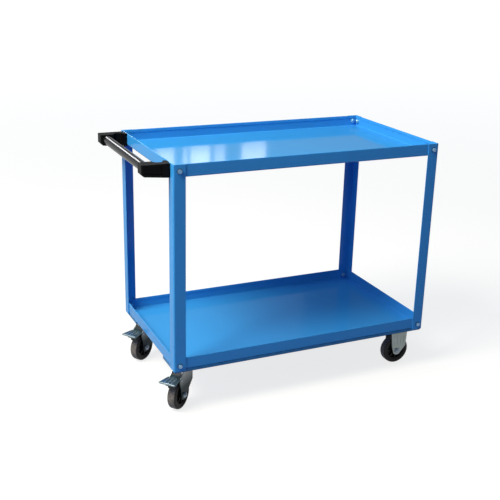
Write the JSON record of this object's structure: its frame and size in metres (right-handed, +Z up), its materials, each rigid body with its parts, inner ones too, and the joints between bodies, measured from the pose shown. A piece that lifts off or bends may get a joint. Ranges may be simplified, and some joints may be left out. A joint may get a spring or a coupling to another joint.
{
  "type": "tool cart",
  "caption": "Sheet-steel cart with two flanged trays between corner posts, a grip bar at one end, braked swivel casters under it and fixed casters at the other end.",
  "frame": {"origin": "on the floor, under the middle of the cart's outer box", "axes": "+Z up; +X along the cart, from the handle to the fixed casters; -Y is the front long side"},
  "size_m": [1.014, 0.5506, 0.814],
  "materials": {
    "blue_paint": "gloss powder coat",
    "zinc_plate": "bright zinc plate",
    "black_plastic": "fine moulded grain",
    "grip_paint": "gloss black coat",
    "tyre_rubber": "smooth moulded rubber",
    "wheel_plastic": "moulded",
    "brake_rubber": "moulded"
  },
  "bodies": {
    "cart": {"upper_tray": "blue_paint", "lower_tray": "blue_paint", "rail_front": "blue_paint", "rail_rear": "blue_paint", "post_front_left": "blue_paint", "post_front_right": "blue_paint", "post_rear_left": "blue_paint", "post_rear_right": "blue_paint", "tray_bolts": "zinc_plate", "tray_washers": "zinc_plate", "tray_nuts": "zinc_plate", "caster_bolts": "zinc_plate", "caster_nuts": "zinc_plate", "handle_bar": "grip_paint", "handle_bracket_front": "black_plastic", "handle_bracket_rear": "black_plastic", "handle_screws": "zinc_plate", "plate_front_left": "zinc_plate", "race_front_left": "zinc_plate", "kingpin_front_left": "zinc_plate", "plate_rear_left": "zinc_plate", "race_rear_left": "zinc_plate", "kingpin_rear_left": "zinc_plate", "plate_front_right": "zinc_plate", "fork_front_right": "zinc_plate", "sleeve_front_right": "zinc_plate", "axle_front_right": "zinc_plate", "axle_nut_front_right": "zinc_plate", "plate_rear_right": "zinc_plate", "fork_rear_right": "zinc_plate", "sleeve_rear_right": "zinc_plate", "axle_rear_right": "zinc_plate", "axle_nut_rear_right": "zinc_plate"},
    "front_left_fork": {"fork_front_left": "zinc_plate", "sleeve_front_left": "zinc_plate", "axle_front_left": "zinc_plate", "axle_nut_front_left": "zinc_plate", "brake_pin_front_left": "zinc_plate"},
    "front_left_wheel": {"tyre_front_left": "tyre_rubber", "wheel_front_left": "wheel_plastic"},
    "front_left_brake": {"pedal_front_left": "zinc_plate", "shoe_front_left": "brake_rubber"},
    "rear_left_fork": {"fork_rear_left": "zinc_plate", "sleeve_rear_left": "zinc_plate", "axle_rear_left": "zinc_plate", "axle_nut_rear_left": "zinc_plate", "brake_pin_rear_left": "zinc_plate"},
    "rear_left_wheel": {"tyre_rear_left": "tyre_rubber", "wheel_rear_left": "wheel_plastic"},
    "rear_left_brake": {"pedal_rear_left": "zinc_plate", "shoe_rear_left": "brake_rubber"},
    "front_right_wheel": {"tyre_front_right": "tyre_rubber", "wheel_front_right": "wheel_plastic"},
    "rear_right_wheel": {"tyre_rear_right": "tyre_rubber", "wheel_rear_right": "wheel_plastic"}
  },
  "joints": [
    {"name": "swivel_front_left", "type": "hinge", "parent": "cart", "child": "front_left_fork", "pos_m": [-0.36145, -0.18162, 0.135], "axis": [0, 0, 1], "continuous": true},
    {"name": "roll_front_left", "type": "hinge", "parent": "front_left_fork", "child": "front_left_wheel", "pos_m": [-0.38862, -0.20524, 0.05], "axis": [0.6561, -0.7547, 0], "continuous": true},
    {"name": "brake_front_left", "type": "hinge", "parent": "front_left_fork", "child": "front_left_brake", "pos_m": [-0.4007, -0.21574, 0.108], "axis": [0.6561, -0.7547, 0], "range_deg": [0, 14]},
    {"name": "swivel_rear_left", "type": "hinge", "parent": "cart", "child": "rear_left_fork", "pos_m": [-0.36145, 0.19438, 0.135], "axis": [0, 0, 1], "continuous": true},
    {"name": "roll_rear_left", "type": "hinge", "parent": "rear_left_fork", "child": "rear_left_wheel", "pos_m": [-0.39076, 0.17347, 0.05], "axis": [0.5807, -0.8141, 0], "continuous": true},
    {"name": "brake_rear_left", "type": "hinge", "parent": "rear_left_fork", "child": "rear_left_brake", "pos_m": [-0.40378, 0.16418, 0.108], "axis": [0.5807, -0.8141, 0], "range_deg": [0, 14]},
    {"name": "roll_front_right", "type": "hinge", "parent": "cart", "child": "front_right_wheel", "pos_m": [0.44605, -0.17562, 0.05], "axis": [0, 1, 0], "continuous": true},
    {"name": "roll_rear_right", "type": "hinge", "parent": "cart", "child": "rear_right_wheel", "pos_m": [0.44605, 0.18838, 0.05], "axis": [0, 1, 0], "continuous": true}
  ]
}
